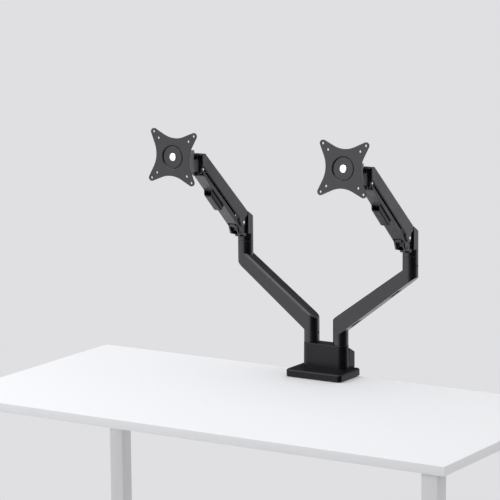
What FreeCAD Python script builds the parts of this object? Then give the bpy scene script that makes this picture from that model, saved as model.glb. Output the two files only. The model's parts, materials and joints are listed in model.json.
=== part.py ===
import FreeCAD, Part
import math
import os

# A desk-clamped monitor arm with two gas-spring arms on one base.
# Millimetres, +Z up, +X to the right along the desk, +Y towards the desk's rear edge.
# The origin is on the desk top, midway between the two columns.

V = FreeCAD.Vector

# ---------------------------------------------------------------- driving sizes
ARM_WIDTH = 34.0            # width of every arm and diameter of every column
COLUMN_SPACING = 73.8       # between the two base columns
BLOCK_TOP = 71.0            # height of the column block above the desk
LOWER_REACH = 173.7         # lower arm, column axis to elbow axis
LOWER_RISE = 213.0          # block top to elbow joint
LINK_LENGTH = 212.0         # upper arm, pivot to pivot
LINK_ANGLE = 48.06          # slope of the upper arm at its upper stop, degrees
DESK_THICKNESS = 20.0       # desk that the clamp is shown closed on
DESK_EDGE = 22.6            # the desk's rear edge, behind the column axes

# fits and gaps
RUN_GAP = 0.05              # radial gap of every turning fit
FACE_GAP = 0.03             # end gap of a turning face
SHELL_GAP = 0.3             # gap between moulded parts

# base
SLAB_HALF_WIDTH = 70.0
SLAB_FRONT = 60.5
SLAB_REAR = 31.7
SLAB_TOP = 17.0
SLAB_CORNER = 9.0
SLAB_EDGE = 4.0
SLAB_WALL = 3.0
PLINTH_HEIGHT = 2.0
PLINTH_MARGIN = 3.0
PAD_THICKNESS = 1.5
PLATE_THICKNESS = 5.0
PLATE_INSET = 5.0
BLOCK_DRAFT = 0.8           # how much wider the block is at its foot
BLOCK_PAD_HALF = 36.0       # flat seat for the clamp bracket on the block's back
BLOCK_PAD_TOP = 46.0
REAR_HALF_WIDTH = 54.0
REAR_DEPTH = 31.2
REAR_TOP_FRONT = 66.0
REAR_TOP_BACK = 53.0
REAR_SLOPE_START = 6.0
REAR_WALL = 2.4

# swivel joints
POST_RADIUS = 8.0
BUSH_WALL = 2.5
BUSH_LENGTH = 36.0
FLANGE_THICKNESS = 1.4
FLANGE_INSET = 0.5
BORE_RELIEF = 2.0           # free depth past the end of a spindle
SET_SCREW_RADIUS = 2.5
SET_SCREW_LENGTH = 5.0
SET_SCREW_DEPTH = 20.0      # from the joint face to the set screw's axis

# lower arm
BASE_COLUMN_OUTER = 54.2    # column height on the side away from the link
BASE_COLUMN_INNER = 34.1
ELBOW_COLUMN_INNER = 32.5
ELBOW_COLUMN_OUTER = 44.6
LINK_EDGE_ROUND = 6.0
CHANNEL_HALF_WIDTH = 8.0
CHANNEL_DEPTH = 11.0
CHANNEL_MARGIN = 8.0        # from the column's wall to the channel's end
CABLE_SLOT = 24.0           # open slot at each end of the channel
STRIP_THICKNESS = 2.2
STRIP_GAP = 0.1

# elbow bracket
FOOT_HEIGHT = 17.0
WALL_FRONT = 13.5
WALL_BACK_TOP = 48.0
WALL_FRONT_TOP = 67.5
CHEEK_OUTER = 11.3
CHEEK_INNER = 8.0
TONGUE_REACH = 31.0
TONGUE_THICKNESS = 5.0
UPPER_PIVOT = V(29.5, 0, 45.0)      # from the elbow axis at the joint plane
PIVOT_OFFSET = V(-6.0, 0, 21.0)     # lower pivot to upper pivot
PIN_RADIUS = 3.0
STUB_RADIUS = 2.5

# upper cover and lower link
COVER_WALL = 2.5
COVER_EDGE_ROUND = 2.0
LOWER_LINK_OUTER = 13.8
LOWER_LINK_WALL = 2.0
LOWER_EAR_RADIUS = 6.5
WEB_START = 27.0            # underside panel, from the lower pivot along the link
WEB_END = 14.0              # and short of the head pivot
PIN_RECESS = 0.3
STUB_PROUD = 0.5

# gas spring
ANCHOR_RADIUS = 14.3        # upper pivot to spring anchor
LIFT_TRAVEL = 65.0          # how far the arm comes down, degrees
SPRING_SLOPE = 3.6          # spring axis against the link line, degrees
CYLINDER_RADIUS = 8.0
CYLINDER_WALL = 1.6
CYLINDER_START = 72.0       # from the upper elbow pivot along the spring
CYLINDER_EYE = 5.0          # cylinder's end to its pin
SPRING_TO_HEAD = 43.0       # spring's end pin to the upper head pivot, along the arm
ROD_RADIUS = 4.0
FORK_OUTER = 7.5
FORK_INNER = 4.5
FORK_HALF_HEIGHT = 6.5
FORK_THROAT = 9.5
FORK_BRIDGE = 9.0
ANCHOR_PIN_RADIUS = 2.5
ANCHOR_SLACK = 0.35
BLOCK_HALF = 5.0
TENSION_SCREW_RADIUS = 3.0
TENSION_HEAD_RADIUS = 5.0
TENSION_HEAD_LENGTH = 5.0
TENSION_ADJUST = 3.0        # length of adjustment left in the cheek slots

# cable clip
CLIP_START = 95.0           # from the lower pivot along the link
CLIP_LENGTH = 60.0
CLIP_HALF_WIDTH = 10.8
CLIP_HEIGHT = 12.5
CLIP_WALL = 2.0

# head
PAN_OFFSET = 16.2           # upper head pivot to pan axis
PAN_BARREL_RADIUS = 6.6
PAN_PIN_RADIUS = 4.0
PAN_BOTTOM = -25.9           # lower plate's upper face, below the upper head pivot
PAN_TOP = 1.4               # upper plate's lower face, above it
HEAD_TOP = 11.0
HEAD_PLATE = 5.6
HEAD_NOSE = 8.6
HEAD_BACK = 9.2
HEAD_SWEEP = 9.0            # head's reach below its lower pivot, clear of the link's panel
POCKET_RADIUS = 8.2
NECK_HALF_WIDTH = 5.0
KNUCKLE_HALF_WIDTH = 6.0
KNUCKLE_START = 15.5
KNUCKLE_CROWN = 7.0         # how far the knuckle stands above its tilt axis at the back
TILT_REACH = 50.0           # pan axis to tilt axis
TILT_HEIGHT = 218.2         # tilt axis above the elbow joint
TILT_BARREL_RADIUS = 9.0
TILT_BOLT_RADIUS = 4.0
TILT_EAR_THICKNESS = 3.0
TILT_WASHER = 0.5
PLATE_REACH = 41.3          # tilt axis to the plate's front face

# monitor plate
VESA_LARGE = 100.0
VESA_SMALL = 75.0
VESA_HOLE_RADIUS = 2.6
VESA_THICKNESS = 2.6
VESA_TIP_RADIUS = 7.2
VESA_FLANK = 25.0           # how steeply each arm of the X narrows, degrees
VESA_WAIST_ROUND = 60.0
HUB_RADIUS = 26.0
HUB_DEPTH = 3.0
SPINDLE_RADIUS = 6.0
DOME_RADIUS = 7.5
DOME_HEIGHT = 2.2

# clamp
BRACKET_THICKNESS = 4.0
BRACKET_HALF_WIDTH = 34.0
BRACKET_GAP = 0.6
JAW_DEPTH = 92.0
JAW_REACH = 42.0
JAW_BOSS_RADIUS = 9.0
JAW_BOSS_HEIGHT = 9.0
CLAMP_AXIS_Y = -14.0
CLAMP_SCREW_RADIUS = 5.0
CLAMP_TRAVEL_UP = 10.0
CLAMP_PAD_RADIUS = 22.0
CLAMP_PAD_THICKNESS = 6.0
KNOB_RADIUS = 21.0
KNOB_HEIGHT = 16.0
KNOB_LOBES = 6
BOLT_RADIUS = 3.0
BOLT_HEAD_RADIUS = 5.6

# how each arm stands at rest: column side, then in degrees the yaw of the lower arm, the yaw of the
# upper arm, the pan, the tilt and the plate's roll
ARMS = {
    "left": (-1, 178.6, -92.7, 4.2, 1.4, -3.1),
    "right": (1, 0.0, -92.3, 3.7, 7.0, 0.2),
}

# ---------------------------------------------------------------- worked-out values
RADIUS = ARM_WIDTH / 2
BUSH_RADIUS = POST_RADIUS + RUN_GAP + BUSH_WALL
ELBOW_Z = BLOCK_TOP + LOWER_RISE
ARM_FOOT = BLOCK_TOP + FACE_GAP + FLANGE_THICKNESS
ARM_HEAD = ELBOW_Z - FLANGE_THICKNESS / 2
LINK = V(math.cos(math.radians(LINK_ANGLE)), 0, math.sin(math.radians(LINK_ANGLE)))
PIVOT_A = UPPER_PIVOT
PIVOT_B = UPPER_PIVOT - PIVOT_OFFSET
PIVOT_C = PIVOT_A + LINK * LINK_LENGTH
PIVOT_D = PIVOT_B + LINK * LINK_LENGTH
PAN_X = PIVOT_C.x + PAN_OFFSET
MID_LIFT = LINK_ANGLE - LIFT_TRAVEL / 2
ANCHOR_ANGLE = MID_LIFT - 90 + SPRING_SLOPE
ANCHOR = PIVOT_A + ANCHOR_RADIUS * V(math.cos(math.radians(ANCHOR_ANGLE)), 0,
                                     math.sin(math.radians(ANCHOR_ANGLE)))
SPRING_ANGLE = LINK_ANGLE + SPRING_SLOPE
SPRING_LENGTH = LINK_LENGTH - SPRING_TO_HEAD
CYLINDER_LENGTH = SPRING_LENGTH - CYLINDER_EYE - CYLINDER_START
SWING = math.radians(LIFT_TRAVEL / 2)
SAGITTA = ANCHOR_RADIUS * (1 - math.cos(SWING))

nodes = {}


# ---------------------------------------------------------------- helpers
def turned(angle, axis=V(0, 0, 1)):
    return FreeCAD.Rotation(axis, angle)


def frame(x=0.0, y=0.0, z=0.0, angle=0.0, axis=V(0, 0, 1)):
    return FreeCAD.Placement(V(x, y, z), turned(angle, axis))


def rounded_edges(points):
    """Edges of a closed outline. A point is (u, v) or (u, v, radius) for a rounded corner."""
    count = len(points)
    runs = []
    for index, point in enumerate(points):
        corner = V(point[0], point[1], 0)
        radius = point[2] if len(point) > 2 else 0.0
        if radius == 0:
            runs.append((corner, None, corner))
            continue
        before = V(*points[index - 1][:2], 0) - corner
        after = V(*points[(index + 1) % count][:2], 0) - corner
        before.normalize()
        after.normalize()
        half = before.getAngle(after) / 2
        reach = radius / math.tan(half)
        bisector = before + after
        bisector.normalize()
        middle = corner + bisector * (radius / math.sin(half) - radius)
        runs.append((corner + before * reach, middle, corner + after * reach))
    edges = []
    for index, (start, middle, end) in enumerate(runs):
        if middle is not None:
            edges.append(Part.Arc(start, middle, end).toShape())
        following = runs[(index + 1) % count][0]
        if (following - end).Length > 1e-6:
            edges.append(Part.makeLine(end, following))
    return edges


def plan_prism(points, low, high):
    """A solid with the outline in plan, from height low to height high."""
    wire = Part.Wire(rounded_edges(points))
    face = Part.Face(wire)
    face.translate(V(0, 0, low))
    return face.extrude(V(0, 0, high - low))


def side_prism(points, near, far):
    """A solid with the outline seen from the side, (x, z), from y = near to y = far."""
    wire = Part.Wire(rounded_edges(points))
    face = Part.Face(wire)
    face.rotate(V(0, 0, 0), V(1, 0, 0), 90)
    face.translate(V(0, near, 0))
    return face.extrude(V(0, far - near, 0))


def both_sides(points, inner, outer):
    """The same side plate at y = inner..outer and mirrored."""
    return side_prism(points, inner, outer).fuse(side_prism(points, -outer, -inner))


def upright(radius, low, high, x=0.0, y=0.0):
    return Part.makeCylinder(radius, high - low, V(x, y, low), V(0, 0, 1))


def cross(radius, near, far, centre):
    """A cylinder across the arm, from y = near to y = far."""
    return Part.makeCylinder(radius, far - near, V(centre.x, near, centre.z), V(0, 1, 0))


def cross_pair(radius, inner, outer, centre):
    return cross(radius, inner, outer, centre).fuse(cross(radius, -outer, -inner, centre))


def hexagon(across_flats, low, high, x=0.0, y=0.0):
    reach = across_flats / math.sqrt(3)
    points = [(x + reach * math.cos(math.radians(60 * k)), y + reach * math.sin(math.radians(60 * k)))
              for k in range(6)]
    return plan_prism(points, low, high)


def socket_screw(radius, head_radius, head_length, length, socket):
    """A socket-head screw standing on z = 0, head above, shank below."""
    head = upright(head_radius, 0, head_length)
    shank = upright(radius, -length, 0)
    return head.fuse(shank).cut(hexagon(socket, head_length * 0.4, head_length + 1))


def flush_screw(radius, head_radius, length, socket):
    """A countersunk screw with its flat head at z = 0."""
    depth = head_radius - radius
    head = Part.makeCone(radius, head_radius, depth, V(0, 0, -depth), V(0, 0, 1))
    shank = upright(radius, -length, -depth)
    return head.fuse(shank).cut(hexagon(socket, -depth * 0.8, 1))


def along(start, direction, radius, length):
    return Part.makeCylinder(radius, length, start, direction)


def stadium(half_length, radius, low, high, taper=0.0):
    """Two upright cylinders joined by their tangents, wider at the foot by taper."""
    foot = radius + taper
    ends = [Part.makeCone(foot, radius, high - low, V(x, 0, low), V(0, 0, 1)) if taper
            else upright(radius, low, high, x) for x in (-half_length, half_length)]
    section = [(-foot, low), (foot, low), (radius, high), (-radius, high)]
    wire = Part.Wire(rounded_edges(section))
    face = Part.Face(wire)
    face.rotate(V(0, 0, 0), V(1, 0, 0), 90)
    face.rotate(V(0, 0, 0), V(0, 0, 1), 90)
    face.translate(V(-half_length, 0, 0))
    middle = face.extrude(V(2 * half_length, 0, 0))
    return ends[0].fuse(ends[1]).fuse(middle).removeSplitter()


def edges_where(shape, test):
    return [edge for edge in shape.Edges if test(edge)]


def add(name, shape, placement=None):
    solid = shape.removeSplitter()
    if placement is not None:
        solid.Placement = placement.multiply(solid.Placement)
    nodes[name] = solid


# ---------------------------------------------------------------- base
def rectangle(half_width, front, rear, corner):
    return [(-half_width, -front, corner), (half_width, -front, corner),
            (half_width, rear, corner), (-half_width, rear, corner)]


def bolt_places():
    """Plate-to-block bolts, two under each end of the block."""
    reach = COLUMN_SPACING / 2
    return [(side * (reach - POST_RADIUS - 2 * BOLT_HEAD_RADIUS + inward), y)
            for side, inward in ((-1, 0), (1, 0)) for y in (-8.0, 8.0)]


def base_parts():
    half = COLUMN_SPACING / 2
    plate_low = PAD_THICKNESS
    plate_high = plate_low + PLATE_THICKNESS

    pad = plan_prism(rectangle(SLAB_HALF_WIDTH - 2, SLAB_FRONT - 2, DESK_EDGE - 1.6, SLAB_CORNER - 2),
                     0, PAD_THICKNESS)
    add("desk_pad", pad)

    plate_half = SLAB_HALF_WIDTH - PLATE_INSET
    plate = plan_prism(rectangle(plate_half, SLAB_FRONT - PLATE_INSET, DESK_EDGE - 1.6, SLAB_CORNER - 3),
                       plate_low, plate_high)
    bolts = []
    for x, y in bolt_places():
        screw = flush_screw(BOLT_RADIUS, BOLT_HEAD_RADIUS, PLATE_THICKNESS + 12, 4)
        screw.rotate(V(0, 0, 0), V(1, 0, 0), 180)
        screw.translate(V(x, y, plate_low))
        bolts.append(screw)
        depth = BOLT_HEAD_RADIUS - BOLT_RADIUS
        sink = Part.makeCone(BOLT_HEAD_RADIUS, BOLT_RADIUS, depth, V(x, y, plate_low), V(0, 0, 1))
        plate = plate.cut(sink).cut(upright(BOLT_RADIUS, plate_low, plate_high, x, y))
    add("base_plate", plate)
    add("block_bolts", Part.makeCompound(bolts))

    block = stadium(half, RADIUS + 0.4, plate_high, BLOCK_TOP, BLOCK_DRAFT)
    top_rim = edges_where(block, lambda e: all(abs(v.Z - BLOCK_TOP) < 0.01 for v in e.Vertexes)
                          and (e.Curve.TypeId != "Part::GeomLine" or e.Length > half))
    block = block.makeFillet(1.2, top_rim)
    seat_back = DESK_EDGE + BRACKET_GAP
    seat = Part.makeBox(2 * BLOCK_PAD_HALF, seat_back, BLOCK_PAD_TOP - plate_high,
                        V(-BLOCK_PAD_HALF, 0, plate_high))
    block = block.fuse(seat)
    for side in (-1, 1):
        block = block.cut(upright(POST_RADIUS, plate_high, BLOCK_TOP + 1, side * half))
    for x, y in bolt_places():
        block = block.cut(upright(BOLT_RADIUS, plate_high, plate_low + PLATE_THICKNESS + 12, x, y))
    for x, z in clamp_bolt_places():
        block = block.cut(Part.makeCylinder(BOLT_RADIUS, 12, V(x, seat_back - 12, z), V(0, 1, 0)))
    add("column_block", block)

    posts = [upright(POST_RADIUS, plate_high, ARM_FOOT + BUSH_LENGTH + BORE_RELIEF / 2, side * half)
             for side in (-1, 1)]
    posts = [post.makeChamfer(1.0, edges_where(post, lambda e: min(v.Z for v in e.Vertexes) > BLOCK_TOP
                                               and e.Curve.TypeId == "Part::GeomCircle"))
             for post in posts]
    add("base_posts", Part.makeCompound(posts))

    cover = plan_prism(rectangle(SLAB_HALF_WIDTH, SLAB_FRONT, SLAB_REAR, SLAB_CORNER), plate_low, SLAB_TOP)
    cover = cover.makeFillet(SLAB_EDGE, edges_where(
        cover, lambda e: all(abs(v.Z - SLAB_TOP) < 0.01 for v in e.Vertexes)))
    margin = PLINTH_MARGIN + SHELL_GAP
    ring = plan_prism(rectangle(half + RADIUS + margin, RADIUS + margin, REAR_DEPTH - 0.6, 8.0),
                      SLAB_TOP - 1, SLAB_TOP + PLINTH_HEIGHT)
    cover = cover.fuse(ring)
    hollow = plan_prism(rectangle(plate_half + SHELL_GAP, SLAB_FRONT - PLATE_INSET + SHELL_GAP,
                                  DESK_EDGE - 1.6 + SHELL_GAP, SLAB_CORNER - 3 + SHELL_GAP),
                        plate_low - 1, plate_high + SHELL_GAP)
    roof = plan_prism(rectangle(plate_half - 6, SLAB_FRONT - PLATE_INSET - 6, DESK_EDGE - 4,
                                SLAB_CORNER - 4),
                      plate_high, SLAB_TOP - SLAB_WALL)
    opening = stadium(half, RADIUS + 0.4 + BLOCK_DRAFT + SHELL_GAP, plate_low, SLAB_TOP + PLINTH_HEIGHT + 1)
    passage = Part.makeBox(2 * (BLOCK_PAD_HALF + SHELL_GAP), SLAB_REAR, SLAB_TOP + PLINTH_HEIGHT + 2,
                           V(-BLOCK_PAD_HALF - SHELL_GAP, 0, 0))
    bracket_back = DESK_EDGE + BRACKET_GAP + BRACKET_THICKNESS + SHELL_GAP
    passage = passage.common(Part.makeBox(200, bracket_back, 100, V(-100, 0, 0)))
    add("base_cover", cover.cut(hollow).cut(roof).cut(opening).cut(passage))


def clamp_bolt_places():
    return [(x, z) for x in (-22.0, 22.0) for z in (30.0, 39.0)]


def rear_cover():
    half = COLUMN_SPACING / 2
    low = SLAB_TOP + PLINTH_HEIGHT + SHELL_GAP

    def sloped(front, back, inset, bottom):
        slope = (REAR_TOP_BACK - REAR_TOP_FRONT) / (REAR_DEPTH - REAR_SLOPE_START)
        end = REAR_TOP_FRONT - inset + slope * (back - REAR_SLOPE_START)
        points = [(front, bottom), (back, bottom), (back, end),
                  (REAR_SLOPE_START, REAR_TOP_FRONT - inset), (front, REAR_TOP_FRONT - inset)]
        wire = Part.Wire(rounded_edges(points))
        face = Part.Face(wire)
        face.rotate(V(0, 0, 0), V(1, 0, 0), 90)
        face.rotate(V(0, 0, 0), V(0, 0, 1), 90)
        return face

    outer = sloped(2.0, REAR_DEPTH, 0, low)
    outer.translate(V(-REAR_HALF_WIDTH, 0, 0))
    outer = outer.extrude(V(2 * REAR_HALF_WIDTH, 0, 0))
    back_edges = edges_where(outer, lambda e: all(v.Y > REAR_SLOPE_START - 0.1 and v.Z > low + 1
                                                  for v in e.Vertexes))
    outer = outer.makeFillet(2.0, back_edges)
    inner = sloped(0.0, REAR_DEPTH - REAR_WALL, REAR_WALL, low - 1)
    inner.translate(V(-REAR_HALF_WIDTH + REAR_WALL, 0, 0))
    inner = inner.extrude(V(2 * (REAR_HALF_WIDTH - REAR_WALL), 0, 0))
    block_room = stadium(half, RADIUS + 0.4 + BLOCK_DRAFT + SHELL_GAP, low - 1, REAR_TOP_FRONT + 1)
    add("rear_cover", outer.cut(inner).cut(block_room))


def clamp_parts():
    front = DESK_EDGE + BRACKET_GAP
    back = front + BRACKET_THICKNESS
    top = BLOCK_PAD_TOP
    floor = -JAW_DEPTH
    upright_plate = Part.makeBox(2 * BRACKET_HALF_WIDTH, BRACKET_THICKNESS, top - floor,
                                 V(-BRACKET_HALF_WIDTH, front, floor))
    jaw = plan_prism([(-BRACKET_HALF_WIDTH, -JAW_REACH, 10), (BRACKET_HALF_WIDTH, -JAW_REACH, 10),
                      (BRACKET_HALF_WIDTH, back), (-BRACKET_HALF_WIDTH, back)],
                     floor - BRACKET_THICKNESS, floor)
    boss = upright(JAW_BOSS_RADIUS, floor, floor + JAW_BOSS_HEIGHT, 0, CLAMP_AXIS_Y)
    bracket = upright_plate.fuse(jaw).fuse(boss)
    bend = edges_where(bracket,
                       lambda e: all(abs(v.Y - back) < 0.01 and abs(v.Z - floor + BRACKET_THICKNESS) < 0.01
                                              for v in e.Vertexes))
    bracket = bracket.makeFillet(BRACKET_THICKNESS - 0.5, bend)
    bracket = bracket.cut(upright(CLAMP_SCREW_RADIUS + RUN_GAP, floor - 10, floor + JAW_BOSS_HEIGHT + 1,
                                  0, CLAMP_AXIS_Y))
    bolts = []
    depth = BOLT_HEAD_RADIUS - BOLT_RADIUS
    for x, z in clamp_bolt_places():
        screw = flush_screw(BOLT_RADIUS, BOLT_HEAD_RADIUS, BRACKET_THICKNESS + 11, 4)
        screw.rotate(V(0, 0, 0), V(1, 0, 0), -90)
        screw.translate(V(x, back, z))
        bolts.append(screw)
        sink = Part.makeCone(BOLT_RADIUS, BOLT_HEAD_RADIUS, depth, V(x, back - depth, z), V(0, 1, 0))
        hole = Part.makeCylinder(BOLT_RADIUS, BRACKET_THICKNESS, V(x, front, z), V(0, 1, 0))
        bracket = bracket.cut(sink).cut(hole)
    add("clamp_bracket", bracket)
    add("clamp_bolts", Part.makeCompound(bolts))

    pad_top = -DESK_THICKNESS
    pad = upright(CLAMP_PAD_RADIUS, pad_top - CLAMP_PAD_THICKNESS, pad_top, 0, CLAMP_AXIS_Y)
    pad = pad.makeFillet(1.5, edges_where(pad, lambda e: e.Curve.TypeId == "Part::GeomCircle"
                                          and abs(e.Vertexes[0].Z - pad_top) < 0.01))
    neck = CLAMP_SCREW_RADIUS - 1.0
    collar = upright(CLAMP_SCREW_RADIUS + 3, pad_top - CLAMP_PAD_THICKNESS - 4,
                     pad_top - CLAMP_PAD_THICKNESS,
                     0, CLAMP_AXIS_Y)
    socket = upright(neck + RUN_GAP, pad_top - CLAMP_PAD_THICKNESS - 5, pad_top - 2.0, 0, CLAMP_AXIS_Y)
    add("clamp_pad", pad.fuse(collar).cut(socket))

    shoulder = pad_top - CLAMP_PAD_THICKNESS - 4 - FACE_GAP
    knob_top = -JAW_DEPTH - BRACKET_THICKNESS - CLAMP_TRAVEL_UP - 1.0
    knob_low = knob_top - KNOB_HEIGHT
    screw = upright(CLAMP_SCREW_RADIUS, knob_low + 3, shoulder, 0, CLAMP_AXIS_Y)
    screw = screw.fuse(upright(neck, shoulder, pad_top - 2.1, 0, CLAMP_AXIS_Y))
    add("clamp_screw", screw)
    knob = upright(KNOB_RADIUS, knob_low, knob_top, 0, CLAMP_AXIS_Y)
    knob = knob.makeFillet(3.0, edges_where(knob, lambda e: e.Curve.TypeId == "Part::GeomCircle"))
    for k in range(KNOB_LOBES):
        angle = math.radians(360.0 / KNOB_LOBES * k)
        reach = KNOB_RADIUS + 4.5
        knob = knob.cut(upright(8.0, knob_low - 1, knob_top + 1, reach * math.cos(angle),
                                CLAMP_AXIS_Y + reach * math.sin(angle)))
    knob = knob.cut(upright(CLAMP_SCREW_RADIUS, knob_low + 3, knob_top + 1, 0, CLAMP_AXIS_Y))
    add("clamp_knob", knob)


# ---------------------------------------------------------------- lower arm, in its own frame
def link_lines():
    """Heights of the slanted link's upper and lower faces as (x, z) end points."""
    upper = ((-RADIUS, ARM_FOOT + BASE_COLUMN_OUTER), (LOWER_REACH - RADIUS, ARM_HEAD - ELBOW_COLUMN_INNER))
    lower = ((RADIUS, ARM_FOOT + BASE_COLUMN_INNER), (LOWER_REACH + RADIUS, ARM_HEAD - ELBOW_COLUMN_OUTER))
    return upper, lower


def on_line(line, x, drop=0.0):
    (x0, z0), (x1, z1) = line
    return z0 + (z1 - z0) * (x - x0) / (x1 - x0) - drop


def channel_points(line, start, end, low, high):
    return [(start, on_line(line, start) + low), (end, on_line(line, end) + low),
            (end, on_line(line, end) + high), (start, on_line(line, start) + high)]


def lower_arm_parts(side, placement):
    upper, lower = link_lines()
    outer = LOWER_REACH + RADIUS
    slab = side_prism([(-RADIUS, on_line(lower, -RADIUS)), (outer, on_line(lower, outer)),
                       (outer, on_line(upper, outer)), (-RADIUS, on_line(upper, -RADIUS))],
                      -RADIUS - 1, RADIUS + 1)
    plan = stadium(LOWER_REACH / 2, RADIUS, ARM_FOOT - 1, ARM_HEAD + 60)
    plan.translate(V(LOWER_REACH / 2, 0, 0))
    link = slab.common(plan)
    rim = edges_where(link, lambda e: all(abs(v.Z - on_line(upper, v.X)) < 0.01 for v in e.Vertexes)
                      and all(v.X < LOWER_REACH + 0.1 for v in e.Vertexes))
    link = link.makeFillet(LINK_EDGE_ROUND, rim)
    column = upright(RADIUS, on_line(lower, outer) - 2, ARM_HEAD, LOWER_REACH)
    below = side_prism([(LOWER_REACH - RADIUS - 1, ARM_FOOT), (outer + 1, ARM_FOOT),
                        (outer + 1, on_line(lower, outer + 1)),
                        (LOWER_REACH - RADIUS - 1, on_line(lower, LOWER_REACH - RADIUS - 1))],
                       -RADIUS - 1, RADIUS + 1)
    above_link = side_prism([(LOWER_REACH - 0.5, on_line(upper, LOWER_REACH) + 8),
                             (outer + 1, on_line(upper, LOWER_REACH) + 8),
                             (outer + 1, ARM_HEAD + 60), (LOWER_REACH - 0.5, ARM_HEAD + 60)],
                            -RADIUS - 1, RADIUS + 1)
    base_column = upright(RADIUS, ARM_FOOT, on_line(lower, RADIUS) + 2)
    arm = link.cut(above_link).fuse(column.cut(below)).fuse(base_column)
    arm = arm.cut(Part.makeBox(4 * RADIUS, 4 * RADIUS, 200,
                               V(LOWER_REACH - 2 * RADIUS, -2 * RADIUS, ARM_HEAD)))
    arm = arm.cut(upright(BUSH_RADIUS, ARM_FOOT - 1, ARM_FOOT + BUSH_LENGTH + BORE_RELIEF))
    arm = arm.cut(upright(BUSH_RADIUS, ARM_HEAD - BUSH_LENGTH - BORE_RELIEF, ARM_HEAD + 1, LOWER_REACH))
    start = RADIUS + CHANNEL_MARGIN
    end = LOWER_REACH - RADIUS - CHANNEL_MARGIN
    channel = side_prism(channel_points(lower, start, end, -30, CHANNEL_DEPTH),
                         -CHANNEL_HALF_WIDTH, CHANNEL_HALF_WIDTH)
    arm = arm.cut(channel)
    screws = []
    for direction, x, z in ((-1, 0.0, ARM_FOOT + SET_SCREW_DEPTH),
                            (1, LOWER_REACH, ARM_HEAD - SET_SCREW_DEPTH)):
        inner = V(x + direction * BUSH_RADIUS, 0, z)
        arm = arm.cut(along(inner - V(direction, 0, 0), V(direction, 0, 0), SET_SCREW_RADIUS, RADIUS))
        screw = along(inner, V(direction, 0, 0), SET_SCREW_RADIUS, SET_SCREW_LENGTH)
        socket = hexagon(2.5, 0, 3)
        socket.rotate(V(0, 0, 0), V(0, 1, 0), 90 * direction)
        socket.translate(inner + V(direction * (SET_SCREW_LENGTH - 2), 0, 0))
        screws.append(screw.cut(socket))
    add(side + "_lower_arm", arm, placement)
    add(side + "_friction_screws", Part.makeCompound(screws), placement)

    strip = side_prism(channel_points(lower, start + CABLE_SLOT, end - CABLE_SLOT, 0, STRIP_THICKNESS),
                       -CHANNEL_HALF_WIDTH + STRIP_GAP, CHANNEL_HALF_WIDTH - STRIP_GAP)
    leg_height = CHANNEL_DEPTH - 0.2
    for offset in (0.2, 0.5, 0.8):
        x = start + CABLE_SLOT + (end - start - 2 * CABLE_SLOT) * offset
        for y in (-1, 1):
            leg = side_prism(channel_points(lower, x - 4, x + 4, STRIP_THICKNESS - 0.5, leg_height),
                             min(y * (CHANNEL_HALF_WIDTH - STRIP_GAP), y * (CHANNEL_HALF_WIDTH - 1.6)),
                             max(y * (CHANNEL_HALF_WIDTH - STRIP_GAP), y * (CHANNEL_HALF_WIDTH - 1.6)))
            strip = strip.fuse(leg)
    add(side + "_lower_cable_cover", strip, placement)

    bushes = []
    for x, foot, up in ((0.0, ARM_FOOT, 1), (LOWER_REACH, ARM_HEAD, -1)):
        sleeve = upright(BUSH_RADIUS, 0,
                         BUSH_LENGTH).fuse(upright(RADIUS - FLANGE_INSET, -FLANGE_THICKNESS, 0))
        sleeve = sleeve.cut(upright(POST_RADIUS + RUN_GAP, -FLANGE_THICKNESS - 1, BUSH_LENGTH + 1))
        if up < 0:
            sleeve.rotate(V(0, 0, 0), V(1, 0, 0), 180)
        sleeve.translate(V(x, 0, foot))
        bushes.append(sleeve)
    add(side + "_swivel_bushes", Part.makeCompound(bushes), placement)


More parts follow.
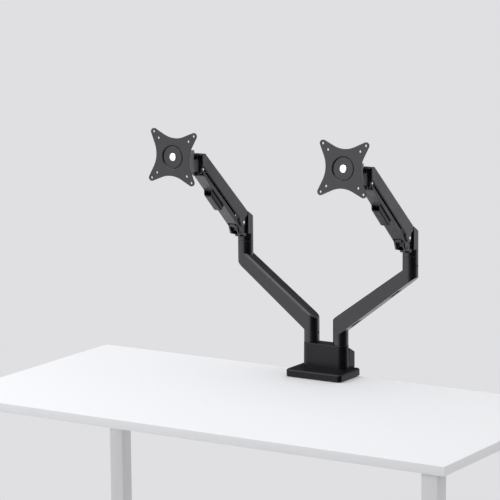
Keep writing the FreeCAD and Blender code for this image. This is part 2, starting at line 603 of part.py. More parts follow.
# ---------------------------------------------- upper arm, from the elbow axis at the joint plane
def elbow_parts(side, placement):
    foot_low = FLANGE_THICKNESS / 2 + FACE_GAP
    foot = upright(RADIUS, foot_low, FOOT_HEIGHT)
    wall_plan = upright(RADIUS, FOOT_HEIGHT, WALL_FRONT_TOP + 10).fuse(
        Part.makeBox(WALL_FRONT, ARM_WIDTH, WALL_FRONT_TOP + 10 - FOOT_HEIGHT, V(0, -RADIUS, FOOT_HEIGHT)))
    wall_side = side_prism([(-RADIUS - 1, FOOT_HEIGHT - 1), (WALL_FRONT, FOOT_HEIGHT - 1),
                            (WALL_FRONT, WALL_FRONT_TOP), (-RADIUS - 1, WALL_BACK_TOP)],
                           -RADIUS - 1, RADIUS + 1)
    wall = wall_plan.common(wall_side)
    tongue = plan_prism([(0, -CHEEK_OUTER), (TONGUE_REACH, -CHEEK_OUTER, 9.0),
                         (TONGUE_REACH, CHEEK_OUTER, 9.0),
                         (0, CHEEK_OUTER)], FOOT_HEIGHT - TONGUE_THICKNESS, FOOT_HEIGHT)
    a, b = PIVOT_A, PIVOT_B
    cheek = [(WALL_FRONT - 2, FOOT_HEIGHT - 1), (b.x - 5, FOOT_HEIGHT - 1), (b.x + 5.5, b.z - 5, 4.0),
             (b.x + 12, b.z + 6, 3.0), (b.x + 12, b.z + 15, 4.0),
             (a.x + 8, a.z + 2), (a.x + 6, a.z + 6, 3.0), (a.x - 5, a.z + 7, 4.0),
             (WALL_FRONT - 2, a.z + 2)]
    cheeks = both_sides(cheek, CHEEK_INNER, CHEEK_OUTER)
    bracket = foot.fuse(wall).fuse(tongue).fuse(cheeks)
    bracket = bracket.cut(upright(POST_RADIUS, foot_low - 1, FOOT_HEIGHT - 3))
    bracket = bracket.cut(cross(PIN_RADIUS, -RADIUS, RADIUS, a))
    bracket = bracket.cut(cross_pair(STUB_RADIUS, CHEEK_INNER - 1, CHEEK_OUTER + 1, b))
    slot = [(ANCHOR.x - ANCHOR_PIN_RADIUS - 0.2, ANCHOR.z - ANCHOR_PIN_RADIUS, 2.4),
            (ANCHOR.x + ANCHOR_PIN_RADIUS + TENSION_ADJUST, ANCHOR.z - ANCHOR_PIN_RADIUS, 2.4),
            (ANCHOR.x + ANCHOR_PIN_RADIUS + TENSION_ADJUST, ANCHOR.z + ANCHOR_PIN_RADIUS, 2.4),
            (ANCHOR.x - ANCHOR_PIN_RADIUS - 0.2, ANCHOR.z + ANCHOR_PIN_RADIUS, 2.4)]
    bracket = bracket.cut(both_sides(slot, CHEEK_INNER - 1, CHEEK_OUTER + 1))
    head_face = -RADIUS + TENSION_HEAD_LENGTH + 5.0
    screw_axis = V(0, 0, ANCHOR.z)
    bracket = bracket.cut(along(screw_axis - V(RADIUS + 1, 0, 0), V(1, 0, 0),
                                TENSION_HEAD_RADIUS + SHELL_GAP,
                                head_face + RADIUS + 1))
    bracket = bracket.cut(along(screw_axis, V(1, 0, 0), TENSION_SCREW_RADIUS + RUN_GAP, WALL_FRONT + 1))
    bracket = bracket.cut(along(screw_axis - V(RADIUS, 0, 0), V(1, 0, 0), TENSION_SCREW_RADIUS + RUN_GAP,
                                RADIUS + 1))
    add(side + "_elbow_bracket", bracket, placement)

    spindle_low = -FLANGE_THICKNESS / 2 - BUSH_LENGTH - BORE_RELIEF / 2
    spindle = upright(POST_RADIUS, spindle_low, FOOT_HEIGHT - 3)
    spindle = spindle.makeChamfer(1.0, edges_where(
        spindle, lambda e: e.Curve.TypeId == "Part::GeomCircle" and e.Vertexes[0].Z < 0))
    add(side + "_elbow_spindle", spindle, placement)

    pin = cross(PIN_RADIUS, -RADIUS + PIN_RECESS, RADIUS - PIN_RECESS, a)
    stub = cross(STUB_RADIUS, CHEEK_INNER, LOWER_LINK_OUTER + PIN_RECESS, b)
    mirrored = cross(STUB_RADIUS, -LOWER_LINK_OUTER - PIN_RECESS, -CHEEK_INNER, b)
    add(side + "_elbow_pins", Part.makeCompound([pin, stub, mirrored]), placement)

    block = Part.makeBox(2 * BLOCK_HALF, 2 * (FORK_INNER - SHELL_GAP), 2 * BLOCK_HALF,
                         V(ANCHOR.x - BLOCK_HALF, -FORK_INNER + SHELL_GAP, ANCHOR.z - BLOCK_HALF))
    block = block.fuse(cross(ANCHOR_PIN_RADIUS, -CHEEK_OUTER, CHEEK_OUTER, ANCHOR))
    block = block.cut(along(screw_axis, V(1, 0, 0), TENSION_SCREW_RADIUS, ANCHOR.x + BLOCK_HALF + 1))
    add(side + "_tension_block", block, placement)

    screw = socket_screw(TENSION_SCREW_RADIUS, TENSION_HEAD_RADIUS, TENSION_HEAD_LENGTH,
                         ANCHOR.x + BLOCK_HALF + 1 - head_face, 5)
    screw.rotate(V(0, 0, 0), V(0, 1, 0), -90)
    screw.translate(V(head_face, 0, ANCHOR.z))
    add(side + "_tension_screw", screw, placement)


def offset_from(pivot, dx, dz, radius=0.0):
    return (pivot.x + dx, pivot.z + dz, radius) if radius else (pivot.x + dx, pivot.z + dz)


def cover_side():
    """Side outline of the upper cover, from the two upper pivots."""
    a, c = PIVOT_A, PIVOT_C
    return [offset_from(a, -14.5, 24.0, 1.5), offset_from(a, -14.5, 14.8, 1.0),
            offset_from(a, -5.0, 9.0, 1.0), offset_from(a, -5.0, -7.0, 3.0),
            offset_from(a, 3.0, -9.5, 4.0), offset_from(a, 11.0, -6.0, 3.0),
            offset_from(a, 18.5, 7.5, 1.0), offset_from(a, 18.0, 11.6, 1.0),
            offset_from(c, 7.0, -16.8, 3.0), offset_from(c, 12.6, -13.0, 8.0),
            offset_from(c, 13.5, 12.3, 1.5), offset_from(c, 0.2, 12.3, 1.0)]


def cover_line():
    a, c = PIVOT_A, PIVOT_C
    return ((a.x - 14.5, a.z + 24.0), (c.x + 0.2, c.z + 12.3))


def upper_cover(side, placement):
    solid = side_prism(cover_side(), -RADIUS, RADIUS)
    line = cover_line()
    start, end = line
    rim = edges_where(solid, lambda e: len(e.Vertexes) == 2 and e.Length > LINK_LENGTH * 0.7
                      and all(abs(v.Z - on_line(line, v.X)) < 0.5 for v in e.Vertexes))
    solid = solid.makeFillet(COVER_EDGE_ROUND, rim)
    drop = COVER_WALL / math.cos(math.atan2(end[1] - start[1], end[0] - start[0]))
    low = PIVOT_A.z - 60
    far = end[0] + 60
    hollow = side_prism([(start[0] - 30, low), (far, low), (far, on_line(line, far, drop)),
                         (start[0] - 30, on_line(line, start[0] - 30, drop))],
                        -RADIUS + COVER_WALL, RADIUS - COVER_WALL)
    notch = Part.makeBox(200, 2 * (CHEEK_OUTER + 0.9), 400,
                         V(PIVOT_C.x - 16.5, -CHEEK_OUTER - 0.9, PIVOT_C.z - 200))
    shell = solid.cut(hollow).cut(notch)
    for pivot in (PIVOT_A, PIVOT_C):
        shell = shell.cut(cross(PIN_RADIUS + RUN_GAP, -RADIUS - 1, RADIUS + 1, pivot))
    spring_end = spring_point(SPRING_LENGTH)
    shell = shell.cut(cross(STUB_RADIUS, -RADIUS + 1, RADIUS - 1, spring_end))
    add(side + "_upper_cover", shell, placement)
    end_pin = cross(STUB_RADIUS, -RADIUS + 1, RADIUS - 1, spring_end)
    add(side + "_spring_end_pin", end_pin, placement)
    washers = []
    for pivot in (PIVOT_A, PIVOT_C):
        for near, far_face in ((CHEEK_OUTER + 0.1, RADIUS - COVER_WALL),
                               (-RADIUS + COVER_WALL, -CHEEK_OUTER - 0.1)):
            washers.append(cross(6.0, near, far_face, pivot).cut(
                cross(PIN_RADIUS + RUN_GAP, near - 1, far_face + 1, pivot)))
    add(side + "_link_washers", Part.makeCompound(washers), placement)


def lower_link_line():
    b, d = PIVOT_B, PIVOT_D
    return ((b.x + 11.0, b.z + 13.0), (d.x - 6.0, d.z - 19.0))


def lower_link(side, placement):
    b, d = PIVOT_B, PIVOT_D
    outline = [offset_from(b, -8.5, -5.5, 3.0), offset_from(b, -8.5, 7.0, 2.0),
               offset_from(b, 4.5, 16.0, 3.0),
               offset_from(b, 11.5, 29.0), offset_from(d, -1.2, -4.7), offset_from(d, -6.0, -19.0, 2.0),
               offset_from(b, 11.0, 13.0, 3.0), offset_from(b, 6.5, 0.0), offset_from(b, 0, -5.5)]
    inner, outer = LOWER_LINK_OUTER - LOWER_LINK_WALL, LOWER_LINK_OUTER
    link = both_sides(outline, inner, outer)
    link = link.fuse(cross_pair(LOWER_EAR_RADIUS, inner, outer, b)).fuse(
        cross_pair(LOWER_EAR_RADIUS, inner, outer, d))
    line = lower_link_line()
    start, end = b.x + LINK.x * WEB_START, d.x - LINK.x * WEB_END + 6.0
    web = side_prism(channel_points(line, start, end, 0, LOWER_LINK_WALL * 1.4), -outer, outer)
    link = link.fuse(web)
    link = link.cut(cross_pair(STUB_RADIUS + RUN_GAP, inner - 1, outer + 1, b))
    link = link.cut(cross_pair(STUB_RADIUS + RUN_GAP, inner - 1, outer + 1, d))
    add(side + "_lower_link", link, placement)

    (x0, z0), (x1, z1) = line
    slope = math.atan2(z1 - z0, x1 - x0)
    first = b.x + LINK.x * CLIP_START

    def hoop_section(inset, start, length):
        """A round-cornered bar along the link, its top on the panel's underside."""
        bar = Part.makeBox(length, 2 * (CLIP_HALF_WIDTH - inset), CLIP_HEIGHT - 2 * inset,
                           V(start, -CLIP_HALF_WIDTH + inset, -CLIP_HEIGHT + inset))
        low = edges_where(bar, lambda e: e.Length > length - 1
                          and all(abs(v.Z + CLIP_HEIGHT - inset) < 0.01 for v in e.Vertexes))
        return bar.makeFillet(5.0 - inset, low)

    hoop = hoop_section(0, 0, CLIP_LENGTH).cut(hoop_section(CLIP_WALL, -1, CLIP_LENGTH + 2))
    upright_end = CLIP_HEIGHT * math.tan(slope)
    trim = side_prism([(CLIP_LENGTH, 0.01), (CLIP_LENGTH + 1, 0.01), (CLIP_LENGTH + 1, -CLIP_HEIGHT - 1),
                       (CLIP_LENGTH - upright_end, -CLIP_HEIGHT - 1),
                       (CLIP_LENGTH - upright_end, -CLIP_HEIGHT)],
                      -CLIP_HALF_WIDTH - 1, CLIP_HALF_WIDTH + 1)
    hoop = hoop.cut(trim)
    hoop.rotate(V(0, 0, 0), V(0, 1, 0), -math.degrees(slope))
    hoop.translate(V(first, 0, on_line(line, first)))
    add(side + "_cable_clip", hoop, placement)


def spring_frame():
    """Where the spring's own axis starts, opposite the upper elbow pivot, x along the rod."""
    offset = ANCHOR_RADIUS - SAGITTA / 2
    direction = math.radians(SPRING_ANGLE)
    down = V(math.sin(direction), 0, -math.cos(direction))
    return PIVOT_A + down * offset, direction


def spring_point(distance):
    origin, direction = spring_frame()
    return origin + V(math.cos(direction), 0, math.sin(direction)) * distance


def spring_placement():
    origin, direction = spring_frame()
    return FreeCAD.Placement(origin, turned(-math.degrees(direction), V(0, 1, 0)))


def gas_spring(side, placement):
    x_axis = V(1, 0, 0)
    start, end = CYLINDER_START, CYLINDER_START + CYLINDER_LENGTH
    body = along(V(start, 0, 0), x_axis, CYLINDER_RADIUS, CYLINDER_LENGTH)
    body = body.makeFillet(1.2, edges_where(body, lambda e: e.Curve.TypeId == "Part::GeomCircle"))
    bore = CYLINDER_RADIUS - CYLINDER_WALL
    body = body.cut(along(V(start + 8, 0, 0), x_axis, bore, CYLINDER_LENGTH - 14))
    body = body.cut(along(V(start - 1, 0, 0), x_axis, ROD_RADIUS + RUN_GAP, 12))
    eye = cross(5.0, -5.0, 5.0, V(SPRING_LENGTH, 0, 0)).fuse(
        Part.makeBox(6, 10, 8, V(end - 1, -5, -4)))
    body = body.fuse(eye).cut(cross(STUB_RADIUS, -6, 6, V(SPRING_LENGTH, 0, 0)))
    spring = placement.multiply(spring_placement())
    add(side + "_gas_cylinder", body, spring)

    anchor_at_rest = -ANCHOR_RADIUS * math.sin(SWING)
    rod_end = start + 24
    rod = along(V(anchor_at_rest + FORK_THROAT, 0, 0), x_axis, ROD_RADIUS,
                rod_end - anchor_at_rest - FORK_THROAT)
    piston = along(V(rod_end, 0, 0), x_axis, bore - RUN_GAP, 8)
    fork_points = [(anchor_at_rest - 5.5, -FORK_HALF_HEIGHT, 4.0),
                   (anchor_at_rest + FORK_THROAT + FORK_BRIDGE, -FORK_HALF_HEIGHT, 2.5),
                   (anchor_at_rest + FORK_THROAT + FORK_BRIDGE, FORK_HALF_HEIGHT, 2.5),
                   (anchor_at_rest - 5.5, FORK_HALF_HEIGHT, 4.0)]
    fork = side_prism(fork_points, -FORK_OUTER, FORK_OUTER)
    gap = Part.makeBox(FORK_THROAT + 10, 2 * FORK_INNER, 4 * FORK_HALF_HEIGHT,
                       V(anchor_at_rest - 10, -FORK_INNER, -2 * FORK_HALF_HEIGHT))
    half_slot = ANCHOR_PIN_RADIUS + ANCHOR_SLACK
    rise = SAGITTA / 2 + half_slot
    slot = side_prism([(anchor_at_rest - half_slot, -rise, half_slot - 0.05),
                       (anchor_at_rest + half_slot, -rise, half_slot - 0.05),
                       (anchor_at_rest + half_slot, rise, half_slot - 0.05),
                       (anchor_at_rest - half_slot, rise, half_slot - 0.05)],
                      -FORK_OUTER - 1, FORK_OUTER + 1)
    add(side + "_gas_rod", rod.fuse(piston).fuse(fork).cut(gap).cut(slot), spring)


# ---------------------------------------------------------------- head
def head_parts(side, placement):
    c, d = PIVOT_C, PIVOT_D
    bottom, low = c.z + PAN_BOTTOM - HEAD_PLATE, c.z + PAN_BOTTOM
    high, top = c.z + PAN_TOP, c.z + HEAD_TOP
    back = c.x - HEAD_BACK
    web = side_prism([(back, d.z + 1.0, 1.0), (d.x - HEAD_SWEEP, d.z + 1.0),
                      (d.x - HEAD_SWEEP, d.z - HEAD_SWEEP, 8.0),
                      (d.x + 0.8, d.z - HEAD_SWEEP), (d.x + 0.8, bottom), (PAN_X - 4.4, bottom, 1.0),
                      (PAN_X - 4.4, top, 1.0), (back, top, 4.0)], -CHEEK_OUTER, CHEEK_OUTER)
    nose = [(d.x + 0.8, -HEAD_NOSE), (PAN_X, -HEAD_NOSE), (PAN_X, HEAD_NOSE), (d.x + 0.8, HEAD_NOSE)]
    plates = None
    for z0, z1 in ((bottom, low), (high, top)):
        plate = plan_prism(nose, z0, z1).fuse(upright(HEAD_NOSE, z0, z1, PAN_X))
        plates = plate if plates is None else plates.fuse(plate)
    pocket = upright(POCKET_RADIUS, low, high, PAN_X).fuse(
        Part.makeBox(60, 2 * POCKET_RADIUS, high - low, V(PAN_X, -POCKET_RADIUS, low)))
    head = web.fuse(plates).cut(pocket)
    head = head.cut(upright(PAN_PIN_RADIUS, bottom - 1, top + 1, PAN_X))
    head = head.cut(cross(PIN_RADIUS, -RADIUS, RADIUS, c))
    stub_inner = CHEEK_OUTER - 5
    head = head.cut(cross_pair(STUB_RADIUS, stub_inner, CHEEK_OUTER + 1, d))
    add(side + "_head_bracket", head, placement)

    pin = cross(PIN_RADIUS, -RADIUS + PIN_RECESS, RADIUS - PIN_RECESS, c)
    stub = cross(STUB_RADIUS, stub_inner, LOWER_LINK_OUTER + STUB_PROUD, d)
    mirrored = cross(STUB_RADIUS, -LOWER_LINK_OUTER - STUB_PROUD, -stub_inner, d)
    add(side + "_head_pins", Part.makeCompound([pin, stub, mirrored]), placement)
    pan_pin = upright(PAN_PIN_RADIUS, bottom - 1.0, top, PAN_X).fuse(
        upright(PAN_PIN_RADIUS + 2.0, bottom - 3.0, bottom, PAN_X)).fuse(
        upright(PAN_PIN_RADIUS + 2.0, top, top + 1.6, PAN_X))
    add(side + "_pan_pin", pan_pin, placement)


def pan_knuckle(side, placement):
    """Turns on the pan pin; x = 0 is the pan axis."""
    low = PIVOT_C.z + PAN_BOTTOM + 0.15
    high = PIVOT_C.z + PAN_TOP - 0.15
    barrel = upright(PAN_BARREL_RADIUS, low, high)
    neck = Part.makeBox(KNUCKLE_START + 4, 2 * NECK_HALF_WIDTH, high - low - 2,
                        V(0, -NECK_HALF_WIDTH, low + 1))
    body_low = low + 1
    crown = TILT_HEIGHT
    body = side_prism([(KNUCKLE_START, body_low, 2.0), (KNUCKLE_START + 12, body_low, 6.0),
                       (TILT_REACH - 2, crown - TILT_BARREL_RADIUS + 0.5),
                       (TILT_REACH, crown + TILT_BARREL_RADIUS - 0.5),
                       (TILT_REACH - 12, crown + 4, 4.0), (KNUCKLE_START + 3, crown + KNUCKLE_CROWN, 3.0),
                       (KNUCKLE_START - 3, crown + KNUCKLE_CROWN, 1.5), (KNUCKLE_START - 3, crown - 1.5),
                       (KNUCKLE_START, crown - 4)],
                      -KNUCKLE_HALF_WIDTH, KNUCKLE_HALF_WIDTH)
    boss = cross(TILT_BARREL_RADIUS, -KNUCKLE_HALF_WIDTH - 2, KNUCKLE_HALF_WIDTH + 2,
                 V(TILT_REACH, 0, crown))
    knuckle = barrel.fuse(neck).fuse(body).fuse(boss)
    knuckle = knuckle.cut(upright(PAN_PIN_RADIUS + RUN_GAP, low - 1, high + 1))
    knuckle = knuckle.cut(cross(TILT_BOLT_RADIUS + RUN_GAP, -30, 30, V(TILT_REACH, 0, crown)))
    add(side + "_pan_knuckle", knuckle, placement)


def tilt_parts(side, placement):
    """Turns on the tilt bolt; the origin is the tilt axis, x towards the monitor."""
    inner = KNUCKLE_HALF_WIDTH + 2 + TILT_WASHER
    outer = inner + TILT_EAR_THICKNESS
    back_face = PLATE_REACH - VESA_THICKNESS - HUB_DEPTH - 0.3
    ear = [(-8.0, -8.0, 7.0), (8.0, -8.0, 3.0), (back_face - 4, -12.0), (back_face - 4, 12.0),
           (8.0, 8.0, 3.0),
           (-8.0, 8.0, 7.0)]
    ears = both_sides(ear, inner, outer)
    flange = Part.makeCylinder(18.0, 4.0, V(back_face - 4, 0, 0), V(1, 0, 0))
    bracket = ears.fuse(flange)
    bracket = bracket.cut(cross(TILT_BOLT_RADIUS, -30, 30, V(0, 0, 0)))
    bracket = bracket.cut(Part.makeCylinder(SPINDLE_RADIUS + RUN_GAP, 20, V(back_face - 10, 0, 0),
                                            V(1, 0, 0)))
    add(side + "_tilt_bracket", bracket, placement)
    bolt = cross(TILT_BOLT_RADIUS, -outer, outer, V(0, 0, 0))
    head = cross(6.5, outer, outer + 4.0, V(0, 0, 0))
    socket = hexagon(5, 0, 3)
    socket.rotate(V(0, 0, 0), V(1, 0, 0), -90)
    socket.translate(V(0, outer + 1.5, 0))
    nut = hexagon(13, 0, 5)
    nut.rotate(V(0, 0, 0), V(1, 0, 0), 90)
    nut.translate(V(0, -outer, 0))
    add(side + "_tilt_bolt", bolt.fuse(head).fuse(nut).cut(socket), placement)


def plate_outline():
    """X shape: a round tip round each far hole, curved waists between."""
    half = VESA_LARGE / 2
    flank = math.radians(VESA_FLANK)
    tip = half + VESA_TIP_RADIUS / math.sin(math.radians(45.0 - VESA_FLANK)) / math.sqrt(2)
    waist = half - half * math.tan(flank) + VESA_TIP_RADIUS / math.cos(flank)
    points = []
    for quarter in range(4):
        turn = math.radians(90 * quarter)
        for u, v, radius in ((tip, tip, VESA_TIP_RADIUS), (0.0, waist, VESA_WAIST_ROUND)):
            points.append((u * math.cos(turn) - v * math.sin(turn), u * math.sin(turn) + v * math.cos(turn),
                           radius))
    return points


def plate_parts(side, placement):
    """The plate's front face is at x = 0, its back towards -x."""
    plate = plan_prism(plate_outline(), -VESA_THICKNESS, 0)
    holes = [(pattern / 2 * u, pattern / 2 * v) for pattern in (VESA_LARGE, VESA_SMALL)
             for u in (-1, 1) for v in (-1, 1)]
    for u, v in holes:
        plate = plate.cut(upright(VESA_HOLE_RADIUS, -VESA_THICKNESS - 1, 1, u, v))
    hub = Part.makeCone(HUB_RADIUS, HUB_RADIUS + 2, HUB_DEPTH, V(0, 0, -VESA_THICKNESS - HUB_DEPTH),
                        V(0, 0, 1))
    dish = Part.makeCone(HUB_RADIUS - 2, HUB_RADIUS, HUB_DEPTH, V(0, 0, -HUB_DEPTH), V(0, 0, 1))
    plate = plate.fuse(hub).cut(dish)
    plate = plate.cut(upright(SPINDLE_RADIUS, -20, 1))
    floor = -HUB_DEPTH
    back = -VESA_THICKNESS - HUB_DEPTH
    spindle = upright(SPINDLE_RADIUS, back - 6.8, floor)
    dome = Part.makeCone(DOME_RADIUS, DOME_RADIUS - 1.5, DOME_HEIGHT, V(0, 0, floor), V(0, 0, 1))
    washer = upright(SPINDLE_RADIUS + 2, back - 6.8, back - 4.4)
    spindle = spindle.fuse(dome).fuse(washer)
    for shape, name in ((plate, "_vesa_plate"), (spindle, "_plate_spindle")):
        shape.rotate(V(0, 0, 0), V(0, 1, 0), 90)
        add(side + name, shape, placement)


# ---------------------------------------------------------------- assembly
def arm(side):
    sign, lower_yaw, upper_yaw, pan, plate_tilt, roll = ARMS[side]
    lower = frame(sign * COLUMN_SPACING / 2, 0, 0, lower_yaw)
    upper = lower.multiply(frame(LOWER_REACH, 0, ELBOW_Z, upper_yaw - lower_yaw))
    pan_frame = upper.multiply(frame(PAN_X, 0, 0, pan))
    tilt = pan_frame.multiply(frame(TILT_REACH, 0, TILT_HEIGHT, -plate_tilt, V(0, 1, 0)))
    plate = tilt.multiply(frame(PLATE_REACH, 0, 0, roll, V(1, 0, 0)))
    lower_arm_parts(side, lower)
    elbow_parts(side, upper)
    upper_cover(side, upper)
    lower_link(side, upper)
    gas_spring(side, upper)
    head_parts(side, upper)
    pan_knuckle(side, pan_frame)
    tilt_parts(side, tilt)
    plate_parts(side, plate)


base_parts()
rear_cover()
clamp_parts()
for side in ARMS:
    arm(side)

os.makedirs("parts", exist_ok=True)
for name, shape in nodes.items():
    shape.exportStep("parts/" + name + ".step")
print(len(nodes), "nodes written")
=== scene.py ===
# %% [markdown]
# A desk-clamped monitor arm with two gas-spring arms. Its shapes come packed from the CAD as named
# nodes, each riding on a named body. This file dresses those nodes in finishes, adds the small pieces
# that only matter to the eye, and sets up the desk, the light and the camera.

# %% Load the frame
import json
import math

import bmesh
import bpy
from mathutils import Matrix, Vector


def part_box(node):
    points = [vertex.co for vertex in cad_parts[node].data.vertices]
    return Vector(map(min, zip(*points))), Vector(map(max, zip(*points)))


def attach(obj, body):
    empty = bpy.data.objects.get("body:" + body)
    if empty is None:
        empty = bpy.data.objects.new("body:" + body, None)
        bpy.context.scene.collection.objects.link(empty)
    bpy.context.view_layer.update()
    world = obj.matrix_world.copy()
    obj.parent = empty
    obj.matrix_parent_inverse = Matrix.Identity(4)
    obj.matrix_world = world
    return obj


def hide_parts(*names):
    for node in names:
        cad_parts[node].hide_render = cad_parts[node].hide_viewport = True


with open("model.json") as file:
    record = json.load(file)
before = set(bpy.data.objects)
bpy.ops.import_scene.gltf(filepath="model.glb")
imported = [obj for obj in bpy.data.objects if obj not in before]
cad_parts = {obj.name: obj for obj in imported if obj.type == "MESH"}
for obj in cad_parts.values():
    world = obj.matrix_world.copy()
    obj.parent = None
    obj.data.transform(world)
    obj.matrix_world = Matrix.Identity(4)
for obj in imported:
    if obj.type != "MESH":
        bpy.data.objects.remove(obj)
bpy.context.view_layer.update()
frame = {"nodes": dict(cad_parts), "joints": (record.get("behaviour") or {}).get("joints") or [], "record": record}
NODES = frame["nodes"]
SIDES = ("left", "right")

# %% [markdown]
# The camera stands well back with a long lens, so upright edges stay nearly upright and both arms keep
# nearly the same scale. It could be aimed by a constraint, but three angles, a distance and the point
# where the origin falls are steadier: they fix the camera completely and nothing is left to drift.

# %% Camera
AZIMUTH = math.radians(32.26)
ELEVATION = math.radians(9.86)
ROLL = math.radians(-0.51)
LENS_MM = 187.34
SENSOR_MM = 36.0
ORIGIN_RIGHT = 0.16874      # metres, the origin seen from the middle of the view
ORIGIN_UP = -0.27503
DISTANCE = 5.7466
CLIP_END = 60.0             # beyond the far end of the floor

back = Vector((math.sin(AZIMUTH) * math.cos(ELEVATION), -math.cos(AZIMUTH) * math.cos(ELEVATION),
               math.sin(ELEVATION)))
level = Vector((math.cos(AZIMUTH), math.sin(AZIMUTH), 0))
upward = back.cross(level)
right = math.cos(ROLL) * level + math.sin(ROLL) * upward
up = -math.sin(ROLL) * level + math.cos(ROLL) * upward
place = -(ORIGIN_RIGHT * right + ORIGIN_UP * up - DISTANCE * back)

camera_data = bpy.data.cameras.new("camera")
camera_data.lens = LENS_MM
camera_data.sensor_width = SENSOR_MM
camera_data.clip_end = CLIP_END
camera = bpy.data.objects.new("camera", camera_data)
camera.matrix_world = Matrix((
    (right.x, up.x, back.x, place.x),
    (right.y, up.y, back.y, place.y),
    (right.z, up.z, back.z, place.z),
    (0, 0, 0, 1)))
bpy.context.scene.collection.objects.link(camera)
bpy.context.scene.camera = camera
bpy.context.scene.view_settings.view_transform = "Standard"
print("camera at", [round(c, 3) for c in place])

# %% [markdown]
# A finish is a tree of shader nodes, and so is the light round the scene. Writing out each node by hand
# would bury what matters, so one small class adds a node, sets its sockets and wires it in a single
# call.

# %% A short way to write nodes
class Tree:
    """A node tree. A socket is named by its label, or by i and its number where labels repeat."""

    def __init__(self, tree):
        self.tree = tree

    def node(self, kind, settings=(), **sockets):
        made = self.tree.nodes.new("ShaderNode" + kind)
        for key, value in dict(settings).items():
            setattr(made, key, value)
        for key, value in sockets.items():
            numbered = key[0] == "i" and key[1:].isdigit()
            self.plug(made.inputs[int(key[1:]) if numbered else key], value)
        return made

    def plug(self, socket, value):
        """Wire another node's output to a socket, or set the socket to a plain value."""
        if isinstance(value, bpy.types.NodeSocket):
            self.tree.links.new(value, socket)
        else:
            socket.default_value = value


print("nodes can be written in one line each")

# %% [markdown]
# Paint, plastic and metal are all made of the same few patterns: a cloud, a worn edge, a grain that
# stands up from the face. Each could be a texture painted by hand, but patterns worked out from the
# piece's own coordinates have no seams and stay sharp however near the camera comes. A second class
# holds them, one pattern to a function.

# %% A short way to write finishes
class Finish(Tree):
    """A material with its shader. Sizes of patterns are in metres."""

    def __init__(self, name):
        self.material = bpy.data.materials.new(name)
        self.material.use_nodes = True
        super().__init__(self.material.node_tree)
        self.shader = self.tree.nodes["Principled BSDF"]
        self.place = self.node("TexCoord").outputs["Object"]

    def wire(self, **sockets):
        """Set the shader's own sockets; a space in a label is written as an underscore."""
        for key, value in sockets.items():
            self.plug(self.shader.inputs[key.replace("_", " ")], value)

    def noise(self, size, detail=3.0, roughness=0.55):
        """Cloudy noise whose blobs are about size across."""
        made = self.node("TexNoise", Vector=self.place, Scale=1 / size, Detail=detail, Roughness=roughness)
        return made.outputs[0]

    def range(self, value, low, high, new_low, new_high):
        return self.node("MapRange", i0=value, i1=low, i2=high, i3=new_low, i4=new_high).outputs[0]

    def spread(self, noise, low, high):
        """Noise mostly lies between 0.3 and 0.7; this stretches it from low to high."""
        return self.range(noise, 0.3, 0.7, low, high)

    def math(self, operation, first, second):
        return self.node("Math", {"operation": operation}, i0=first, i1=second).outputs[0]

    def mix(self, amount, first, second):
        """Two colours mixed; the colour sockets of this node are its seventh and eighth."""
        return self.node("Mix", {"data_type": "RGBA"}, i0=amount, i6=first, i7=second).outputs[2]

    def rounded(self, radius, samples=4):
        """Normals that turn softly over sharp edges."""
        return self.node("Bevel", {"samples": samples}, Radius=radius).outputs[0]

    def edges(self, radius):
        """1 on a sharp outer or inner edge, 0 on flat faces."""
        flat = self.node("NewGeometry").outputs["Normal"]
        same = self.node("VectorMath", {"operation": "DOT_PRODUCT"}, i0=self.rounded(radius), i1=flat)
        return self.range(same.outputs["Value"], 0.999, 0.90, 0.0, 1.0)

    def bump(self, height, depth, strength, over=None):
        """Normals of a relief, laid over other normals if they are given."""
        made = self.node("Bump", Height=height, Distance=depth, Strength=strength)
        if over is not None:
            self.plug(made.inputs["Normal"], over)
        return made.outputs[0]


def grey(level, blue=0.0):
    """A neutral colour, a touch cooler where blue is above 0."""
    return (level, level, level + blue, 1.0)


print("finishes can be written pattern by pattern")

# %% [markdown]
# The castings and pressed parts are powder coated. Powder melts into a skin with a fine orange peel, a
# satin sheen, and rubs a little brighter where hands touch the edges; the paler edges also stand as a
# painted highlight along every edge. A single dark colour would look like cut paper, so the coat has three
# scales of detail: a fine grain, a slow drift of sheen, and the paler edges. The column block mirrors less
# than the rest, and the knuckles are painted paler as a painted highlight, so each of them has a coat of its own.

# %% Powder coats
POWDER_GRAIN = 0.0005
SHEEN_CLOUD = 0.045
# patches and width of the paler edges, which are rubbed wear and a painted highlight along every edge
PALE_EDGE_PATCH = 0.006
PALE_EDGE_WIDTH = 0.0007
COAT_ROUND = 0.0010         # the coat rounds every edge by this radius
SPECK = 1.7                 # the tips of the grain are this many times as pale as the coat
WORN_AND_HIGHLIGHT_PALER = 3.2                # edges, rubbed and painted as highlight, are this many times as pale
RUBBED_SMOOTHER = 0.12      # and this much less rough


def powder_coat(name, level, roughness, peel, wear_and_highlight, shine=0.5):
    coat = Finish(name)
    fine = coat.noise(POWDER_GRAIN, 2.0)
    slow = coat.noise(SHEEN_CLOUD)
    patches = coat.range(coat.noise(PALE_EDGE_PATCH), 0.35, 0.65, 0.3, 1.0)
    pale_edges = coat.math("MULTIPLY", coat.edges(PALE_EDGE_WIDTH), patches)
    tint = coat.mix(coat.spread(slow, 0.0, 1.0), grey(level * 0.9, 0.0004), grey(level * 1.12, 0.0008))
    speckled = coat.mix(coat.range(fine, 0.62, 0.75, 0.0, 0.5), tint, grey(level * SPECK))
    # edges drawn paler: part rubbed wear, part painted highlight
    coat.wire(Base_Color=coat.mix(coat.math("MULTIPLY", pale_edges, wear_and_highlight), speckled, grey(level * WORN_AND_HIGHLIGHT_PALER)))
    sheen = coat.spread(slow, roughness - 0.05, roughness + 0.06)
    coat.wire(Roughness=coat.math("SUBTRACT", sheen, coat.math("MULTIPLY", pale_edges, RUBBED_SMOOTHER)))
    coat.wire(Normal=coat.bump(fine, peel, 0.6, coat.rounded(COAT_ROUND, 6)))
    coat.wire(Metallic=0.0, IOR=1.5, Specular_IOR_Level=shine)
    return coat.material


